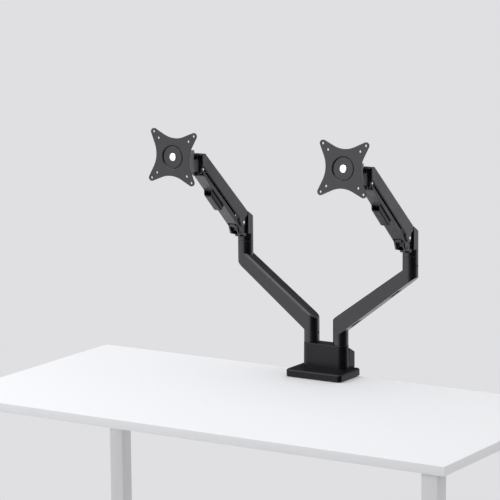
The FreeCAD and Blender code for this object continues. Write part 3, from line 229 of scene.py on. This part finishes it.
casting = powder_coat("satin_black_casting", 0.0034, 0.34, 0.00005, 0.35)
block_coat = powder_coat("satin_black_block", 0.0034, 0.34, 0.00005, 0.35, 0.21)
# the knuckles' coat is twenty times paler than the castings': a painted highlight on the grey barrel
knuckle_highlight_coat = powder_coat("knuckle_coat_painted_highlight", 0.070, 0.45, 0.00005, 0.35)
sheet_steel = powder_coat("black_coated_steel", 0.0045, 0.40, 0.00007, 0.30)
print("powder coats:", casting.name, block_coat.name, knuckle_highlight_coat.name, sheet_steel.name)

# %% [markdown]
# The base's two covers, the cable covers and clips, the bushes, the washers and the clamp's knob are
# moulded in black plastic, and the pad under the base is rubber. A textured mould prints a soft
# leather-like grain, a little duller than the coat; the base's covers mirror least of all. Plain noise
# would look like sand, so cells from a Voronoi texture give that grain its rounded pits.

# %% Moulded plastic and rubber
MOULD_CLOUD = 0.03
MOULD_RUB_WIDTH = 0.0006
MOULD_ROUND = 0.0005
MOULD_RUBBED = 2.6          # rubbed edges are this many times as pale


def moulded(name, level, roughness, grain_size, depth, shine):
    plastic = Finish(name)
    cells = plastic.node("TexVoronoi", {"feature": "SMOOTH_F1"}, Vector=plastic.place, Scale=1 / grain_size,
                         Smoothness=0.6).outputs["Distance"]
    slow = plastic.noise(MOULD_CLOUD, 2.0)
    rubbed = plastic.math("MULTIPLY", plastic.edges(MOULD_RUB_WIDTH), 0.25)
    base = plastic.mix(plastic.spread(slow, 0.0, 1.0), grey(level * 0.88), grey(level * 1.1, 0.001))
    plastic.wire(Base_Color=plastic.mix(rubbed, base, grey(level * MOULD_RUBBED)))
    plastic.wire(Roughness=plastic.spread(slow, roughness - 0.04, roughness + 0.05))
    plastic.wire(Normal=plastic.bump(cells, depth, 0.5, plastic.rounded(MOULD_ROUND)))
    plastic.wire(Specular_IOR_Level=shine)
    return plastic.material


black_plastic = moulded("black_plastic", 0.0040, 0.38, 0.0009, 0.00005, 0.33)
base_plastic = moulded("black_plastic_base", 0.0040, 0.38, 0.0009, 0.00005, 0.16)
rubber = moulded("rubber_pad", 0.012, 0.80, 0.0006, 0.00010, 0.33)
print("moulded finishes:", black_plastic.name, base_plastic.name, rubber.name)

# %% [markdown]
# Bright parts are zinc-plated steel: pins, spindles, posts, and the clamp's screw and pad. The plating
# is a soft silver with a faint warm and cool cloud in it. Turning leaves marks too fine to tell apart,
# so a plain noise of their size stands for them, where real rings would need the axis of every pin. The
# gas spring's rod is ground and nitrided: the same tree with a near-black colour and finer marks.

# %% Turned metals
PLATING_CLOUD = 0.004
METAL_ROUND = 0.0004
MARK_DEPTH = 0.00003
COOL = (0.86, 0.90, 0.97)
WARM = (1.00, 0.98, 0.93)


def tinted(colour, cast):
    return tuple(c * f for c, f in zip(colour, cast)) + (1.0,)


def turned_metal(name, colour, roughness, mark):
    metal = Finish(name)
    marks = metal.noise(mark, 1.0, 0.5)
    cloud = metal.noise(PLATING_CLOUD)
    clouded = metal.range(cloud, 0.35, 0.65, 0.0, 1.0)
    metal.wire(Base_Color=metal.mix(clouded, tinted(colour, COOL), tinted(colour, WARM)), Metallic=1.0)
    metal.wire(Roughness=metal.spread(cloud, roughness - 0.06, roughness + 0.08))
    metal.wire(Normal=metal.bump(marks, MARK_DEPTH, 0.4, metal.rounded(METAL_ROUND)))
    return metal.material


zinc = turned_metal("bright_steel", (0.78, 0.78, 0.80), 0.32, 0.00025)
rod_steel = turned_metal("nitrided_rod", (0.045, 0.045, 0.05), 0.22, 0.0001)
print("metals:", zinc.name, rod_steel.name)

# %% [markdown]
# The bolts, the screws, some inner pins and the tension block are blackened steel. The oxide is thin:
# the steel shines through it, a little brown or blue in places, and edges wear paler. It could be a
# metal tinted dark, but a shader that is only partly metal gives that dull depth more simply.

# %% Black oxide
OXIDE_CLOUD = 0.003
OXIDE_GRAIN = 0.0006
OXIDE_WORN_WIDTH = 0.0004
BLUE_BLACK = (0.018, 0.018, 0.022, 1)
BROWN_BLACK = (0.035, 0.033, 0.034, 1)


def black_oxide(name):
    oxide = Finish(name)
    cloud = oxide.noise(OXIDE_CLOUD, 4.0)
    pale_edges = oxide.math("MULTIPLY", oxide.edges(OXIDE_WORN_WIDTH), 0.5)
    base = oxide.mix(oxide.spread(cloud, 0.0, 1.0), BLUE_BLACK, BROWN_BLACK)
    oxide.wire(Base_Color=oxide.mix(pale_edges, base, grey(0.12)), Metallic=0.6)
    oxide.wire(Roughness=oxide.spread(cloud, 0.30, 0.45))
    oxide.wire(Normal=oxide.bump(oxide.noise(OXIDE_GRAIN), 0.00004, 0.5))
    return oxide.material


oxide = black_oxide("black_oxide_steel")
print("oxide:", oxide.name)

# %% [markdown]
# The gas cylinder is a tube sprayed with gloss black. Wet lacquer flows out nearly flat, so what gives
# it away is a clear coat over the colour and a faint wave in it, a few millimetres long. A grain like
# the powder coat's would make it look dry.

# %% Lacquer
LACQUER_CLOUD = 0.02
LACQUER_WAVE = 0.002


def lacquer(name):
    gloss = Finish(name)
    slow = gloss.noise(LACQUER_CLOUD, 2.0)
    gloss.wire(Base_Color=gloss.mix(gloss.spread(slow, 0.0, 1.0), grey(0.014), grey(0.022, 0.001)))
    gloss.wire(Roughness=gloss.spread(slow, 0.14, 0.24))
    gloss.wire(Normal=gloss.bump(gloss.noise(LACQUER_WAVE), 0.00002, 0.4))
    gloss.wire(Coat_Weight=0.6, Coat_Roughness=0.08)
    return gloss.material


gloss = lacquer("black_gloss_cylinder")
print("lacquer:", gloss.name)

# %% [markdown]
# The record says which slot each node takes its finish from, so the finishes are handed out by reading
# it; a list written here could fall out of step with the CAD. Only the base's covers, the column block
# and the knuckles have a coat of their own. The mesh keeps its shape; only its material slots change.

# %% Hand out the finishes
FINISH_OF = {
    "satin_black_casting": casting,
    "black_coated_steel": sheet_steel,
    "black_plastic": black_plastic,
    "rubber_pad": rubber,
    "bright_steel": zinc,
    "nitrided_rod": rod_steel,
    "black_oxide_steel": oxide,
    "black_gloss_cylinder": gloss,
}
OWN_FINISH = {
    "base_cover": base_plastic,
    "rear_cover": base_plastic,
    "column_block": block_coat,
    # the knuckles take the paler coat, a painted highlight
    "left_pan_knuckle": knuckle_highlight_coat,
    "right_pan_knuckle": knuckle_highlight_coat,
}
SLOT_OF = {part["node"]: part["material_slot"] for part in frame["record"]["subparts"]}
for name, node in NODES.items():
    finish = OWN_FINISH.get(name, FINISH_OF[SLOT_OF[name]])
    if not node.material_slots:
        node.data.materials.append(finish)
    for slot in node.material_slots:
        slot.material = finish
print("finishes handed to", len(NODES), "nodes")

# %% [markdown]
# The pieces added here are all round: caps, discs and a screw. A primitive cylinder has dead sharp
# ends, so each one is a skin over rings of points instead, and its profile can be rounded at will.

# %% Round pieces
def skin(name, rings, finish, body):
    """A skin over rings of points with as many points each, closed at both ends, that rides on a body."""
    shape = bmesh.new()
    rows = [[shape.verts.new(point) for point in ring] for ring in rings]
    for first, second in zip(rows, rows[1:]):
        for k in range(len(first)):
            shape.faces.new((first[k - 1], first[k], second[k], second[k - 1]))
    shape.faces.new(rows[0][::-1])
    shape.faces.new(rows[-1])
    bmesh.ops.recalc_face_normals(shape, faces=shape.faces[:])
    mesh = bpy.data.meshes.new(name)
    shape.to_mesh(mesh)
    shape.free()
    mesh.shade_smooth()
    mesh.materials.append(finish)
    piece = bpy.data.objects.new(name, mesh)
    bpy.context.scene.collection.objects.link(piece)
    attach(piece, body)
    return piece


def turned_piece(name, centre, axis, profile, finish, body, corners=32):
    """A round piece about an axis; its profile pairs a distance along the axis with a radius."""
    axis = Vector(axis).normalized()
    sideways = axis.orthogonal().normalized()
    across = axis.cross(sideways)
    turns = [2 * math.pi * k / corners for k in range(corners)]
    rings = [[Vector(centre) + axis * along + (sideways * math.cos(t) + across * math.sin(t)) * radius
              for t in turns] for along, radius in profile]
    return skin(name, rings, finish, body)


print("round pieces can be turned from a profile")

# %% [markdown]
# Each arm has four pivots. The pins at the elbow's top and the head's foot stay bright; push-on caps
# cover the ends of the other two. The joints in the record say where every pivot is and which way it
# points, so nothing has to be measured again: a cap goes a known way out from its pivot.

# %% Pin caps
JOINTS = {joint["name"]: joint for joint in frame["joints"]}
PIN_END = 0.0167            # from the middle of the arm to the end of a pin
STUB_END = 0.0143
PIN_CAP = ((0.00003, 0.0030), (0.00019, 0.0030), (0.00028, 0.0028), (0.00029, 0.0004))
STUB_CAP = ((-0.0004, 0.00252), (0.0001, 0.00252), (0.00016, 0.0023), (0.00017, 0.0004))
for side in SIDES:
    axis = Vector(JOINTS[side + "_lift"]["axis"])
    upper_head = Vector(JOINTS[side + "_head_level"]["pos_m"])
    lower_elbow = Vector(JOINTS[side + "_lower_link_pivot"]["pos_m"])
    for name, way in (("near", -1), ("far", 1)):
        outward = axis * way
        # the head's pin caps take the knuckles' paler coat, a painted highlight
        turned_piece(side + "_head_pin_cap_" + name, upper_head + outward * PIN_END, outward, PIN_CAP,
                     knuckle_highlight_coat, side + "_upper")
        turned_piece(side + "_link_pin_cap_" + name, lower_elbow + outward * STUB_END, outward, STUB_CAP,
                     black_plastic, side + "_elbow")
print("pin caps on", len(SIDES), "arms")

# %% [markdown]
# In the middle of each plate a pressed dish holds the spindle. A friction disc lies in the dish and
# leaves a dark groove round it, and a smooth domed cap is pushed over the spindle's end. The dish is 3
# mm deep, so both stay below the face that a monitor is screwed to.

# %% Plate centres
DISH_FLOOR = -0.0030
DISC = ((0.0, 0.0226), (0.0011, 0.0226), (0.0013, 0.0224), (0.0013, 0.0221), (0.0013, 0.0004))
DOME = ((0.0012, 0.0083), (0.0018, 0.0083), (0.0022, 0.0080), (0.0026, 0.0070), (0.0028, 0.0055),
        (0.0029, 0.0030), (0.0029, 0.0004))
for side in SIDES:
    joint = JOINTS[side + "_rotate"]
    outward = Vector(joint["axis"]).normalized()
    floor_centre = Vector(joint["pos_m"]) + outward * DISH_FLOOR
    turned_piece(side + "_friction_disc", floor_centre, outward, DISC, sheet_steel, side + "_plate",
                 corners=64)
    turned_piece(side + "_spindle_cap", floor_centre, outward, DOME, zinc, side + "_plate",
                 corners=48)
print("plate centres", 1000 * abs(DISH_FLOOR), "mm deep")

# %% [markdown]
# The clamp's screw is a plain rod in the CAD. Its thread could be cut there with a tool swept along a
# helix, but that is slow and often fails. Here it is one skin, a ring of points at every step up the
# screw, whose radius rises and falls with the helix. The thread fades out at both ends, and the neck
# above it is as thin as its root.

# %% Clamp screw thread
PITCH = 0.002
THREAD_DEPTH = 0.0011
NECK_LENGTH = 0.0080
NECK_STEP = 0.0001
RUN_OUT = 0.0015
FLANK = 0.42                # a flank takes this share of the pitch
THREAD_CORNERS = 36
STEPS_PER_PITCH = 8
(low_x, low_y, low_z), (high_x, high_y, high_z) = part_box("clamp_screw")
screw_x, screw_y = (low_x + high_x) / 2, (low_y + high_y) / 2
root_radius = (high_x - low_x) / 2 - THREAD_DEPTH
neck_start = high_z - NECK_LENGTH
thread_length = neck_start - low_z


def thread_radius(z, turned):
    """The thread's radius at a height, a share of a turn round."""
    phase = (z / PITCH - turned) % 1.0
    ridge = max(0.0, 1.0 - abs(phase - 0.5) / FLANK)
    fade = max(0.0, min(1.0, (z - low_z) / RUN_OUT, (neck_start - z) / RUN_OUT))
    return root_radius + THREAD_DEPTH * ridge * fade


def thread_ring(z):
    ring = []
    for k in range(THREAD_CORNERS):
        turned = k / THREAD_CORNERS
        radius = thread_radius(z, turned)
        angle = 2 * math.pi * turned
        ring.append((screw_x + radius * math.cos(angle), screw_y + radius * math.sin(angle), z))
    return ring


steps = int(thread_length / (PITCH / STEPS_PER_PITCH))
heights = [low_z + thread_length * step / steps for step in range(steps + 1)]
heights += [neck_start + NECK_STEP, high_z]
thread_rings = [thread_ring(z) for z in heights]
thread = skin("clamp_screw_thread", thread_rings, zinc, "clamp_screw_body")
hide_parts("clamp_screw")
print("thread", round(thread_length / PITCH), "turns,", len(thread.data.polygons), "faces")

# %% [markdown]
# The arm is clamped to a white desk, which here is only the stage: a board with soft edges on four
# square legs. Below it lies a pale floor. The board's top lies a hair under the base, because two faces
# in the same place would show through each other in patches.

# %% Desk and floor
def box_mesh(name, low, high, bevel=0.0):
    """A box from corner to corner, its edges rounded."""
    shape = bmesh.new()
    bmesh.ops.create_cube(shape, size=1.0)
    for vertex in shape.verts:
        vertex.co = Vector([low[k] + (vertex.co[k] + 0.5) * (high[k] - low[k]) for k in range(3)])
    if bevel:
        bmesh.ops.bevel(shape, geom=shape.edges[:], offset=bevel, segments=3, profile=0.5, affect="EDGES")
    mesh = bpy.data.meshes.new(name)
    shape.to_mesh(mesh)
    shape.free()
    for face in mesh.polygons:
        face.use_smooth = bevel > 0
    made = bpy.data.objects.new(name, mesh)
    bpy.context.scene.collection.objects.link(made)
    return made


DESK_LEFT, DESK_RIGHT = -0.6102, 0.6020
DESK_FRONT, DESK_REAR = -0.5795, 0.0226
DESK_THICKNESS = 0.020
DESK_ROUND = 0.0012
HAIR = 0.00002
LEG = 0.036
LEG_ROUND = 0.002
LEG_LEFT, LEG_RIGHT = -0.577, 0.549
LEG_FRONT, LEG_REAR = -0.575, -0.018
FLOOR_TOP = -0.74
FLOOR_THICKNESS = 0.02
FLOOR_HALF = 14.0

desk = box_mesh("desk_top", (DESK_LEFT, DESK_FRONT, -DESK_THICKNESS),
                (DESK_RIGHT, DESK_REAR, -HAIR), DESK_ROUND)
leg_corners = [(x, y) for y in (LEG_REAR, LEG_FRONT) for x in (LEG_LEFT, LEG_RIGHT)]
legs = [box_mesh("desk_leg_%d" % k, (x, y, FLOOR_TOP), (x + LEG, y + LEG, -DESK_THICKNESS), LEG_ROUND)
        for k, (x, y) in enumerate(leg_corners)]
floor = box_mesh("floor", (-FLOOR_HALF, -FLOOR_HALF, FLOOR_TOP - FLOOR_THICKNESS),
                 (FLOOR_HALF, FLOOR_HALF, FLOOR_TOP))
print("desk", round(DESK_RIGHT - DESK_LEFT, 3), "by", round(DESK_REAR - DESK_FRONT, 3), "m")

# %% [markdown]
# The desk's top is matt white laminate and its legs a little greyer; its sides are painted greyer than its
# top, a painted shade. Each is one paint with a cloud so faint that it only keeps the surface from looking empty.

# %% Desk paints
PAINT_CLOUD = 0.02
PAINT_SHINE = 0.15
STEEPEST_SIDE = 0.3         # a face that tilts up or down less than this is a side and gets the painted shade


def paint(name, colour, roughness):
    painted = Finish(name)
    soft = painted.spread(painted.noise(PAINT_CLOUD, 2.0), 0.0, 1.0)
    clouded = tuple(c * 0.995 for c in colour) + (1,)
    painted.wire(Base_Color=painted.mix(soft, clouded, colour + (1,)))
    painted.wire(Roughness=roughness, Specular_IOR_Level=PAINT_SHINE)
    return painted.material


leg_paint = paint("leg_grey", (0.55, 0.55, 0.56), 0.5)
for leg in legs:
    leg.data.materials.append(leg_paint)
desk.data.materials.append(paint("desk_white", (0.800, 0.806, 0.826), 0.7))
# the sides' greyer paint is a painted shade
desk.data.materials.append(paint("desk_side_painted_shade", (0.66, 0.665, 0.68), 0.6))
for face in desk.data.polygons:
    if abs(face.normal.z) < STEEPEST_SIDE:
        face.material_index = 1
print("desk paints:", [material.name for material in desk.data.materials], leg_paint.name)

# %% [markdown]
# To the camera, the floor and everything further away are one even pale grey, like paper swept up
# behind a product. The floor could be lit until it is that pale, but then the arms would be lit too.
# Instead it shows the grey to the camera alone. Neither the floor nor the desk is seen by mirrored
# rays, which go on to the studio's walls.

# %% Pale floor
BACKDROP = (0.745, 0.745, 0.760, 1.0)

floor_finish = Finish("floor_pale")
floor_finish.wire(Base_Color=(0.72, 0.72, 0.73, 1.0), Roughness=0.9)
glow = floor_finish.node("Emission", Color=BACKDROP).outputs[0]
to_camera = floor_finish.node("LightPath").outputs["Is Camera Ray"]
shown = floor_finish.node("MixShader", i0=to_camera, i1=floor_finish.shader.outputs[0], i2=glow).outputs[0]
floor_finish.plug(floor_finish.tree.nodes["Material Output"].inputs["Surface"], shown)
floor.data.materials.append(floor_finish.material)
floor.visible_glossy = False
desk.visible_glossy = False
print("floor", floor_finish.material.name)

# %% [markdown]
# Satin black shows its shape only by what it mirrors, so the studio has bright panels at the left,
# overhead and below, a dim wall behind, a black flag at the front right, and a pale wall between them.
# Lamps would do it too, but they would also bleach or shade the white desk. So the panels are part of
# the world, which turns a direction into a brightness and shows it to mirrored rays alone; other rays
# meet plain pale walls.

# %% Studio walls
WALL = 0.95                     # the pale walls, as they light the scene
MIRRORED_WALL = 1.30            # and as the black parts mirror them
MIRRORED_TINT = (1.0, 0.985, 1.06, 1.0)
# each region: where it lies, the cosines at which it starts and is full, and its brightness
REGIONS = (
    ((-0.62, 0.68, 0.38), 0.30, 0.85, 0.12),     # dim wall behind
    ((-0.30, 0.05, -0.95), 0.35, 0.85, 1.80),    # bounce from below
    ((-0.45, -0.89, -0.10), 0.72, 0.97, 1.80),   # left panel
    ((-0.12, -0.40, 0.90), 0.55, 0.93, 4.60),    # overhead panel
    ((0.90, -0.43, -0.12), 0.22, 0.74, 0.01),    # black flag
)

world = bpy.data.worlds.new("studio")
bpy.context.scene.world = world
world.use_nodes = True
world.node_tree.nodes.clear()
sky = Tree(world.node_tree)
direction = sky.node("TexCoord").outputs["Generated"]
brightness = MIRRORED_WALL
for towards, start, full, inside in REGIONS:
    aim = tuple(Vector(towards).normalized())
    facing = sky.node("VectorMath", {"operation": "DOT_PRODUCT"}, i0=direction, i1=aim).outputs["Value"]
    brightness = sky.node("MapRange", {"interpolation_type": "SMOOTHSTEP"}, i0=facing, i1=start, i2=full,
                          i3=brightness, i4=inside).outputs[0]

rays = sky.node("LightPath").outputs
lighting = sky.node("Background", i0=(1.0, 1.0, 1.0, 1.0), i1=WALL).outputs[0]
even_grey = sky.node("Background", i0=BACKDROP, i1=1.0).outputs[0]
panels = sky.node("Background", i0=MIRRORED_TINT, i1=brightness).outputs[0]
unmirrored = sky.node("MixShader", i0=rays["Is Camera Ray"], i1=lighting, i2=even_grey).outputs[0]
studio = sky.node("MixShader", i0=rays["Is Glossy Ray"], i1=unmirrored, i2=panels).outputs[0]
sky.node("OutputWorld", i0=studio)
print("studio walls", WALL, "and", len(REGIONS), "mirrored regions")

# %% [markdown]
# One large soft lamp high on the left gives the shapes their direction. Its size keeps the shadow on
# the desk faint; a small lamp or a sun would draw a hard one.

# %% Lamp
LAMP_PLACE = Vector((-2.6, -2.4, 3.0))
LAMP_AIM = Vector((0.0, -0.1, 0.25))
LAMP_SIZE = 2.2
LAMP_POWER = 55.0

lamp_data = bpy.data.lights.new("key_lamp", "AREA")
lamp_data.shape = "DISK"
lamp_data.size = LAMP_SIZE
lamp_data.energy = LAMP_POWER
key_lamp = bpy.data.objects.new("key_lamp", lamp_data)
key_lamp.location = LAMP_PLACE
key_lamp.rotation_euler = (LAMP_AIM - LAMP_PLACE).to_track_quat("-Z", "Y").to_euler()
bpy.context.scene.collection.objects.link(key_lamp)
print("lamp", key_lamp.data.energy, "W")
